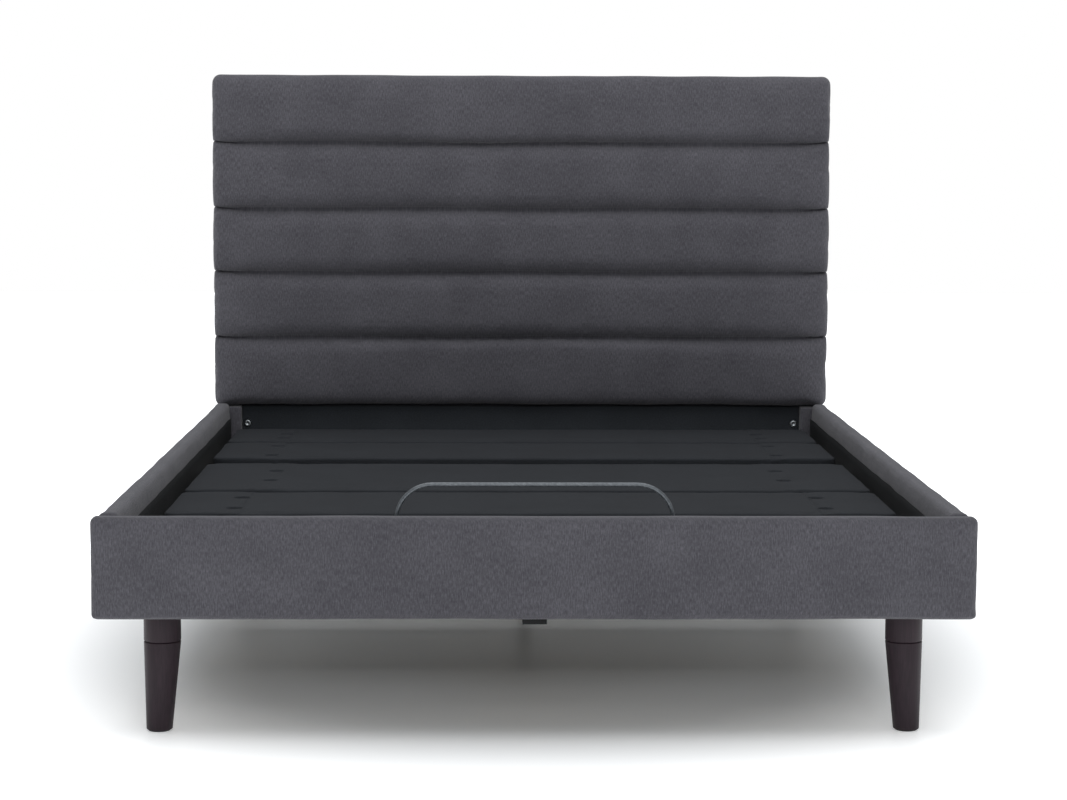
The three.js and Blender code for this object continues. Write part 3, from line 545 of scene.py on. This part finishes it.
def staple_row(shape, start, end, pitch, out):
    """Staple crowns from start to end, lying along the row on a cloth that faces along the axis out. They
    stray a little, as driven by hand, but not along that axis."""
    run = Vector(end) - Vector(start)
    count = int(run.length / pitch)
    for i in range(count + 1):
        crown = bmesh.ops.create_cube(shape, size=1)["verts"]
        size = [CROWN_LENGTH if abs(run[a]) > 0.01 else CROWN_WIRE for a in range(3)]
        bmesh.ops.scale(shape, verts=crown, vec=size)
        place = Vector(start) + run * (i / count)
        wobble = Vector([0.0015 * noise.noise(place * 40 + Vector((a, 0, 0))) for a in range(3)])
        wobble[out] = 0
        bmesh.ops.translate(shape, verts=crown, vec=place + wobble)


rows = bmesh.new()
x0, x1 = low.x + DUST_COVER_INSET + STAPLE_MARGIN, high.x - DUST_COVER_INSET - STAPLE_MARGIN
z0, z1 = low.z + DUST_COVER_INSET + STAPLE_MARGIN, high.z - DUST_COVER_INSET - STAPLE_MARGIN
y = high.y + 0.0030
for start, end in (((x0, y, z0), (x1, y, z0)), ((x0, y, z1), (x1, y, z1)),
                   ((x0, y, z0), (x0, y, z1)), ((x1, y, z0), (x1, y, z1))):
    staple_row(rows, start, end, pitch=0.055, out=1)
bmesh.ops.bevel(rows, geom=rows.edges[:], offset=0.0003, segments=1, profile=0.5, affect="EDGES", material=-1)
staples = link("dust_cover_staples", rows, staple_steel)
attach(staples, "base")


# ------------------------------------------------------------------------------ deck panels
# Plywood panels with a thin layer of foam under a dark needled cloth, each held down by four bolts sunk in
# dimples: the seat on the fixed frame, and the other four on the frames that lift them.

# Needled polyester felt: very dark and matt, with an even close nap in place of threads.
deck_cloth = woven_cloth("dark_needled_deck_cloth", "#16181b", "#1d1f23", "#24272b",
                         thread_mm=1.3, slub_mm=(2.5, 2.5), sheen=0, contrast=0.18)
# Zinc with a smoky passivation, as on the bolts of most lifting bases: a dull grey that still glints.
bolt_zinc = speckled("smoked_zinc_bolt", "#77797c", "#8f9295", grain_mm=4, roughness=0.32, metallic=1.0)

DECK_RADIUS = 0.006
CORNER_RADIUS = 0.026
DIMPLE_RADIUS = 0.0175
DIMPLE_DEPTH = 0.009
DIMPLE_RIM = 0.0014
DIMPLE_SLOPE = 0.0045  # width of the ring in which the cloth drops to the dimple's floor
BOLT_RADIUS = 0.0085
BOLT_HEAD = 0.006
SHOULDER, SOCKET_RIM, SOCKET_DEPTH = 0.62, 0.28, 0.5  # shares of a bolt's radius, and of its head
WALL_BOLT_X, WALL_BOLT_HEIGHTS, WALL_BOLT_RADIUS = 0.739, (0.300, 0.374), 0.011

panels = {  # node: (body, distance of its bolts from the middle, their distances from its foot end)
    "foot_panel": ("foot_frame", 0.615, (0.117, 0.281)),
    "thigh_panel": ("thigh_frame", 0.615, (0.074, 0.238)),
    "seat_panel": ("base", 0.579, (0.165, 0.333)),
    "back_panel": ("back_frame", 0.615, (0.053, 0.248)),
    "pillow_panel": ("pillow_frame", 0.615, (0.077, 0.170)),
}


def panel_cuts(low, high, pitch, marks):
    """Cuts across a panel, 2.5 mm apart round its bolts. A cut that comes less than 0.8 mm after the one
    before it is left out."""
    close = [mark + d for mark in marks for d in np.arange(-0.0225, 0.0226, 0.0025)]
    cuts = sorted(set(stations(low, high, pitch, DECK_RADIUS) + close))
    return [cuts[0]] + [b for a, b in zip(cuts, cuts[1:]) if b - a > 8e-4]


def bolt_heads(name, spots, axis_up, radius, head, material):
    """Button-head bolts with a hexagon socket, one at each spot."""
    heads = bmesh.new()
    for spot in spots:
        made = bmesh.ops.create_cone(heads, cap_ends=True, segments=24, radius1=radius,
                                     radius2=radius * SHOULDER, depth=head)["verts"]
        top = [f for f in {f for v in made for f in v.link_faces}
               if len(f.verts) > 4 and f.calc_center_median().z > 0]
        socket = bmesh.ops.inset_region(heads, faces=top, thickness=radius * SOCKET_RIM)
        bmesh.ops.translate(heads, verts=list({v for f in top for v in f.verts}),
                            vec=(0, 0, -head * SOCKET_DEPTH))
        verts = list({v for f in {f for v in made for f in v.link_faces} for v in f.verts}
                     | {v for f in top for v in f.verts} | {v for f in socket["faces"] for v in f.verts})
        turn = Vector((0, 0, 1)).rotation_difference(Vector(axis_up)).to_matrix()
        bmesh.ops.rotate(heads, verts=verts, cent=(0, 0, 0), matrix=turn)
        bmesh.ops.translate(heads, verts=verts, vec=spot)
    return link(name, heads, material)


for node, (body, bolt_x, bolt_ys) in panels.items():
    low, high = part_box(node)
    spots = [(x, low.y + y) for y in bolt_ys for x in (-bolt_x, bolt_x)]
    panel = padded_block(f"{node}_cover", (
        panel_cuts(low.x, high.x, 0.022, [-bolt_x, bolt_x]),
        panel_cuts(low.y, high.y, 0.018, [low.y + y for y in bolt_ys]),
        stations(low.z, high.z, 0.006, DECK_RADIUS)), DECK_RADIUS, deck_cloth)
    co = points_of(panel)
    # seen from above the corners are rounded off
    middle = np.array([0, (low.y + high.y) / 2])
    core = np.array([high.x, (high.y - low.y) / 2]) - CORNER_RADIUS
    out = np.abs(co[:, :2] - middle) - core
    in_corner = (out > 0).all(axis=1)
    out[in_corner] *= (out.max(axis=1) / np.hypot(out[:, 0], out[:, 1]))[in_corner, None]
    rounded = middle + np.copysign(core + out, co[:, :2] - middle)
    co[in_corner, :2] = rounded[in_corner]
    set_points(panel, co)
    top = co[:, 2] > high.z - 0.002
    to_bolt = np.min([np.hypot(co[:, 0] - x, co[:, 1] - y) for x, y in spots], axis=0)
    held = (co[:, 2] < low.z + 0.003) | (top & (to_bolt < DIMPLE_RADIUS * 1.25))
    swell(panel, held, pressure=1.2, reach=0.0015, last_frame=10)
    co = points_of(panel)
    slope = np.clip((DIMPLE_RADIUS - to_bolt) / DIMPLE_SLOPE, 0, 1)
    rim = DIMPLE_RIM * np.exp(-(((to_bolt - DIMPLE_RADIUS - 0.002) / 0.004) ** 2))
    co[:, 2] += np.where(top, rim - DIMPLE_DEPTH * slope * slope * (3 - 2 * slope), 0)
    set_points(panel, co)
    uneven(panel, height=0.0006, size=0.09, seed=51)
    finish_pad(panel, body, "deck_fabric", 0.95, node)
    bolts = bolt_heads(f"{node}_bolts", [(x, y, high.z - DIMPLE_DEPTH + 0.0028) for x, y in spots], (0, 0, 1),
                       BOLT_RADIUS, BOLT_HEAD, bolt_zinc)
    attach(bolts, body)


# Under each panel the cloth is turned in and stapled round the edge; only the rows at its two ends are drawn.
for node, (body, _, _) in panels.items():
    low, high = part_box(node)
    rows = bmesh.new()
    x0, x1, y0, y1 = low.x + 0.03, high.x - 0.03, low.y + 0.012, high.y - 0.012
    for start, end in (((x0, y0), (x1, y0)), ((x0, y1), (x1, y1))):
        staple_row(rows, (*start, low.z - 0.00004), (*end, low.z - 0.00004), pitch=0.06, out=2)
    staples = link(f"{node}_staples", rows, staple_steel)
    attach(staples, body)

# The headboard's own bolts come through the wall lining at its two ends.
low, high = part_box("headboard_lower_panel")
wall_spots = [(x, low.y - 0.003, z) for x in (-WALL_BOLT_X, WALL_BOLT_X) for z in WALL_BOLT_HEIGHTS]
wall_bolts = bolt_heads("headboard_wall_bolts", wall_spots, (0, -1, 0), WALL_BOLT_RADIUS, BOLT_HEAD,
                        staple_steel)
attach(wall_bolts, "base")


# ------------------------------------------------------------------------------ legs
# Turned hardwood, stained espresso and lacquered. A straight collar screws up into the end slats, and the
# tapered leg below it leans outwards a little and stands on a nylon glide.

# Hardwood under a dark stain and thin lacquer: a brown close to black, with soft dull highlights.
leg_wood, tree, shader = new_material("espresso_lacquered_hardwood")
place = object_mm(tree)
grain_place = add(tree, "ShaderNodeMapping", Vector=place, Scale=(1 / 2.5, 1 / 2.5, 1 / 60))
grain = add(tree, "ShaderNodeTexNoise", Vector=grain_place.outputs[0], Scale=1.0, Detail=4.0, Roughness=0.6)
ramp = add(tree, "ShaderNodeValToRGB", Fac=grain.outputs[0])
ramp.color_ramp.elements[0].position, ramp.color_ramp.elements[0].color = 0.3, linear("#1d151a")
ramp.color_ramp.elements[1].position, ramp.color_ramp.elements[1].color = 0.7, linear("#2c2027")
tree.links.new(ramp.outputs[0], shader.inputs["Base Color"])
bump = add(tree, "ShaderNodeBump", Strength=0.12, Distance=0.0002, Height=grain.outputs[0])
tree.links.new(bump.outputs[0], shader.inputs["Normal"])
shader.inputs["Roughness"].default_value = 0.52
shader.inputs["Specular IOR Level"].default_value = 0.2
shader.inputs["Coat Weight"].default_value = 0.04
shader.inputs["Coat Roughness"].default_value = 0.3

# Moulded nylon, a little scuffed: black, and neither matt nor shiny.
glide_nylon = speckled("black_nylon_glide", "#151516", "#1f1f20", grain_mm=2, roughness=0.5, relief=0.1)


def eased(piece, width):
    """Rounds a piece's sharp edges slightly, with a live modifier, and returns that."""
    bevel = piece.modifiers.new("eased_edges", "BEVEL")
    bevel.width = width
    bevel.segments = 2
    bevel.limit_method = "ANGLE"
    bevel.angle_limit = math.radians(50)
    return bevel


def turned(name, profile, centre, material, steps=56):
    """A piece turned about an upright axis from (radius, height) points, closed at the axis."""
    shape = bmesh.new()
    ring = [shape.verts.new((r, 0, z)) for r, z in profile]
    edges = [shape.edges.new(pair) for pair in zip(ring, ring[1:])]
    bmesh.ops.spin(shape, geom=ring + edges, cent=(0, 0, 0), axis=(0, 0, 1), angle=2 * math.pi, steps=steps,
                   use_merge=True)
    bmesh.ops.remove_doubles(shape, verts=shape.verts, dist=1e-6)
    bmesh.ops.recalc_face_normals(shape, faces=shape.faces)
    bmesh.ops.translate(shape, verts=shape.verts, vec=centre)
    piece = link(name, shape, material)
    eased(piece, 0.0012)
    return piece


GLIDE_HEIGHT = 0.003
LEG_SPLAY = 0.0075  # how far outwards the foot of a leg stands from its top
LEG_FOOT_RADIUS = 0.025
JOINT_IN, JOINT_DOWN = 0.002, 0.001  # the small bevels that meet in the line between leg and collar
for end in ("foot", "head"):
    for side, sign in (("left", -1), ("right", 1)):
        low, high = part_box(f"leg_{end}_{side}")
        collar_low, collar_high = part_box(f"leg_collar_{end}_{side}")
        x, y = (collar_low.x + collar_high.x) / 2, (collar_low.y + collar_high.y) / 2
        radius = (collar_high.x - collar_low.x) / 2
        taper = [(0, GLIDE_HEIGHT), (LEG_FOOT_RADIUS, GLIDE_HEIGHT), (radius, high.z - JOINT_DOWN),
                 (radius - JOINT_IN, high.z), (0, high.z)]
        straight = [(0, collar_low.z), (radius - JOINT_IN, collar_low.z), (radius, collar_low.z + JOINT_DOWN),
                    (radius, collar_high.z), (0, collar_high.z)]
        disc = [(0, 0), (LEG_FOOT_RADIUS - 0.004, 0), (LEG_FOOT_RADIUS - 0.003, GLIDE_HEIGHT - 0.0002),
                (0, GLIDE_HEIGHT - 0.0002)]
        leg = turned(f"turned_leg_{end}_{side}", taper, (0, 0, 0), leg_wood)
        lean = sign * LEG_SPLAY / high.z
        co = points_of(leg)
        co[:, 0] += x + (high.z - co[:, 2]) * lean
        co[:, 1] += y
        set_points(leg, co)
        collar = turned(f"turned_collar_{end}_{side}", straight, (x, y, 0), leg_wood)
        glide = turned(f"leg_glide_{end}_{side}", disc, (x + sign * LEG_SPLAY, y, 0), glide_nylon)
        for piece, slot_name in ((leg, "leg_wood"), (collar, "leg_wood"), (glide, "black_plastic")):
            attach(piece, "base")
        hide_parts(f"leg_{end}_{side}")
        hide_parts(f"leg_collar_{end}_{side}")


# ------------------------------------------------------------------------------ timber under the deck
# Birch plywood slats, and ledgers and a centre beam of planed pine. All of it is left raw and stands
# inside the upholstered rails, out of sight under the deck.

GRAIN_WIDTH_MM, GRAIN_LENGTH_MM = 4, 160


def raw_wood(name, dark, pale, along):
    """Raw timber with its grain along x, y or z."""
    material, tree, shader = new_material(name)
    scale = [1 / GRAIN_WIDTH_MM] * 3
    scale[along] = 1 / GRAIN_LENGTH_MM
    stretched = add(tree, "ShaderNodeMapping", Vector=object_mm(tree), Scale=scale)
    grain = add(tree, "ShaderNodeTexNoise", Vector=stretched.outputs[0], Scale=1.0, Detail=5.0)
    ramp = add(tree, "ShaderNodeValToRGB", Fac=grain.outputs[0])
    ramp.color_ramp.elements[0].position, ramp.color_ramp.elements[0].color = 0.32, linear(dark)
    ramp.color_ramp.elements[1].position, ramp.color_ramp.elements[1].color = 0.68, linear(pale)
    tree.links.new(ramp.outputs[0], shader.inputs["Base Color"])
    bump = add(tree, "ShaderNodeBump", Strength=0.3, Distance=0.0003, Height=grain.outputs[0])
    tree.links.new(bump.outputs[0], shader.inputs["Normal"])
    shader.inputs["Roughness"].default_value = 0.75
    return material


nodes = frame["nodes"]


def repaint(node, material, edge):
    """Gives a solid model's node a finish, smooth curves and eased edges."""
    piece = nodes[node]
    piece.data.materials.clear()
    piece.data.materials.append(material)
    piece.data.polygons.foreach_set("use_smooth", [True] * len(piece.data.polygons))
    weld = piece.modifiers.new("weld", "WELD")
    weld.merge_threshold = 1e-5
    eased(piece, edge).harden_normals = True


# Rotary-cut birch veneer: pale and greyish, with long faint streaks.
plywood = raw_wood("birch_plywood", "#9c9384", "#b7ae9e", 0)
# Planed softwood: warmer and yellower than the birch, dry and matt.
pine = raw_wood("planed_pine", "#a38f70", "#c2ae8b", 1)
for node in ("end_slat_foot", "slat_front", "slat_rear", "end_slat_head"):
    repaint(node, plywood, 0.0008)
for node in ("ledger_left", "ledger_right", "centre_beam"):
    repaint(node, pine, 0.0015)


# ------------------------------------------------------------------------------ steel frames
# Square and round steel tube, welded up into one fixed frame and four lifting ones that are pinned to it
# and to each other, all powder coated before the panels are bolted on.

# Matt powder coat, cured with a fine orange-peel: black, with broad soft highlights and no sharp ones.
powder_coat = speckled("matt_black_powder_coat", "#0b0c0d", "#121314", grain_mm=1.2, roughness=0.6,
                       relief=0.25, specular=0.2)

for row in frame["record"]["subparts"]:
    if row["material_slot"] == "frame_steel":
        repaint(row["node"], powder_coat, 0.0008)


# ------------------------------------------------------------------------------ mattress retainer bar
# An 8 mm steel rod bent into a wide arch that keeps the mattress from sliding off the foot end. It
# stands on two small plates, screwed to the foot panel.

# Gloss enamel with metal flake: mid grey, with a thin bright line along the round of the rod.
bar_enamel = speckled("gloss_grey_bar_enamel", "#4a4e52", "#5c6064", grain_mm=6, roughness=0.3, metallic=0.5)

BAR_RADIUS = 0.004
BEND_RADIUS = 0.068
BAR_HALF_WIDTH = 0.262
PLATE = (0.060, 0.024, 0.003)
HALF_PLATE = PLATE[2] * 0.5

low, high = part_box("retainer_bar")
bar_y = (low.y + high.y) / 2
bend_z = high.z - BAR_RADIUS - BEND_RADIUS
bar = bmesh.new()
ring = bmesh.ops.create_circle(bar, segments=20, radius=BAR_RADIUS)["verts"]
bmesh.ops.translate(bar, verts=ring, vec=(-BAR_HALF_WIDTH, bar_y, low.z + HALF_PLATE))
start = last = bar.edges[:]


def drawn_out(shape, edges, move):
    """Extrudes a loop of edges by a move and returns the new loop."""
    made = bmesh.ops.extrude_edge_only(shape, edges=edges)["geom"]
    verts = [g for g in made if isinstance(g, bmesh.types.BMVert)]
    bmesh.ops.translate(shape, verts=verts, vec=move)
    return [g for g in made if isinstance(g, bmesh.types.BMEdge) and all(v in verts for v in g.verts)]


def bent(shape, edges, centre, steps=10):
    """Turns a loop of edges through a right angle about an axis along y."""
    made = bmesh.ops.spin(shape, geom=edges, cent=centre, axis=(0, 1, 0), angle=math.pi / 2, steps=steps)
    return [g for g in made["geom_last"] if isinstance(g, bmesh.types.BMEdge)]


last = drawn_out(bar, last, (0, 0, bend_z - low.z - HALF_PLATE))
last = bent(bar, last, (-BAR_HALF_WIDTH + BEND_RADIUS, bar_y, bend_z))
last = drawn_out(bar, last, (2 * (BAR_HALF_WIDTH - BEND_RADIUS), 0, 0))
last = bent(bar, last, (BAR_HALF_WIDTH - BEND_RADIUS, bar_y, bend_z))
last = drawn_out(bar, last, (0, 0, low.z + HALF_PLATE - bend_z))
bmesh.ops.holes_fill(bar, edges=start + last, sides=24)
bmesh.ops.recalc_face_normals(bar, faces=bar.faces)
arch = link("retainer_arch", bar, bar_enamel)
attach(arch, "foot_frame")
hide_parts("retainer_bar")

for side, sign in (("left", -1), ("right", 1)):
    plate = bmesh.new()
    bmesh.ops.create_cube(plate, size=1)
    bmesh.ops.scale(plate, verts=plate.verts, vec=PLATE)
    bmesh.ops.bevel(plate, geom=[e for e in plate.edges if abs((e.verts[0].co - e.verts[1].co).z) > 0.001],
                    offset=0.006, segments=4, profile=0.5, affect="EDGES", material=-1)
    bmesh.ops.bevel(plate, geom=plate.edges[:], offset=0.0005, segments=2, profile=0.5, affect="EDGES",
                    material=-1)
    bmesh.ops.translate(plate, verts=plate.verts, vec=(sign * BAR_HALF_WIDTH, bar_y, low.z + PLATE[2] / 2))
    foot = link(f"retainer_foot_{side}", plate, bar_enamel)
    screws = bolt_heads(f"retainer_screws_{side}",
                        [(sign * BAR_HALF_WIDTH + d, bar_y, low.z + PLATE[2] + 0.001) for d in (-0.02, 0.02)],
                        (0, 0, 1), radius=0.0045, head=0.0022, material=bolt_zinc)
    for piece in (foot, screws):
        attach(piece, "foot_frame")


# ------------------------------------------------------------------------------ actuators and control box
# Three linear actuators, each a moulded body with its motor in it and a rod that pushes a lever of the
# frame it lifts. The control box that drives them hangs under the seat panel.

# Glass-filled nylon, moulded with a light texture: near black and finely speckled, with a dull shine.
nylon = speckled("black_glass_filled_nylon", "#121213", "#1f1f21", grain_mm=0.9, roughness=0.55, relief=0.2)
for node in ("back_actuator", "leg_actuator", "pillow_actuator", "control_box", "foot_roller_left",
             "foot_roller_right"):
    repaint(node, nylon, 0.0012)

# Bright zinc plate on drawn steel: cool grey, with soft reflections drawn out along the rod.
zinc = speckled("zinc_plated_steel", "#8f9294", "#b9bcbe", grain_mm=5, roughness=0.32, metallic=1.0)
for node in ("back_actuator_rod", "leg_actuator_rod", "pillow_actuator_rod"):
    repaint(node, zinc, 0.0005)


# A clevis pin with a flat head at either end joins each rod's fork to the lever that it pushes. It turns
# with the lever, a little slack in the fork.
PIN_RADIUS = 0.00475
PIN_SLACK = 0.0004
PIN_HEAD = 0.0012
LEVERS = (("back", "back_frame", 1), ("leg", "thigh_frame", -1), ("pillow", "pillow_frame", 1))
for name, body, towards in LEVERS:
    low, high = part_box(f"{name}_actuator_rod")
    eye = (high.z - low.z) / 2
    centre = (low + high) / 2
    centre.y = high.y - eye if towards > 0 else low.y + eye
    half = (high.x - low.x) / 2 + PIN_SLACK
    pin = bmesh.new()
    for radius, start, end in (
        (PIN_RADIUS, -half - PIN_HEAD / 2, half + PIN_HEAD / 2),
        (PIN_RADIUS * 1.5, -half - PIN_HEAD, -half),
        (PIN_RADIUS * 1.5, half, half + PIN_HEAD),
    ):
        place = Matrix.Translation(centre + Vector(((start + end) / 2, 0, 0)))
        bmesh.ops.create_cone(pin, cap_ends=True, segments=32, radius1=radius, radius2=radius,
                              depth=end - start, matrix=place @ Matrix.Rotation(math.pi / 2, 4, "Y"))
    clevis = link(f"{name}_clevis_pin", pin, zinc)
    clevis.data.polygons.foreach_set("use_smooth", [False] * len(clevis.data.polygons))
    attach(clevis, body)

# Cooling slots' ribs along the control box's outer side, and the four screws of its lid below.
low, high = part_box("control_box")
RIB = (0.0016, 0.003, 0.022)
RIB_COUNT, RIB_PITCH = 14, 0.006
ribs = bmesh.new()
for i in range(RIB_COUNT):
    rib = bmesh.ops.create_cube(ribs, size=1)["verts"]
    bmesh.ops.scale(ribs, verts=rib, vec=RIB)
    place = (high.x + 0.0009, low.y + 0.036 + i * RIB_PITCH, (low.z + high.z) / 2)
    bmesh.ops.translate(ribs, verts=rib, vec=place)
bmesh.ops.bevel(ribs, geom=ribs.edges[:], offset=0.0005, segments=2, profile=0.5, affect="EDGES",
                material=-1)
vents = link("control_box_ribs", ribs, nylon)
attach(vents, "base")
corners = [(x, y, low.z - 0.0008) for x in (low.x + 0.009, high.x - 0.009)
           for y in (low.y + 0.009, high.y - 0.009)]
screws = bolt_heads("control_box_screws", corners, (0, 0, -1), radius=0.0032, head=0.0018, material=bolt_zinc)
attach(screws, "base")
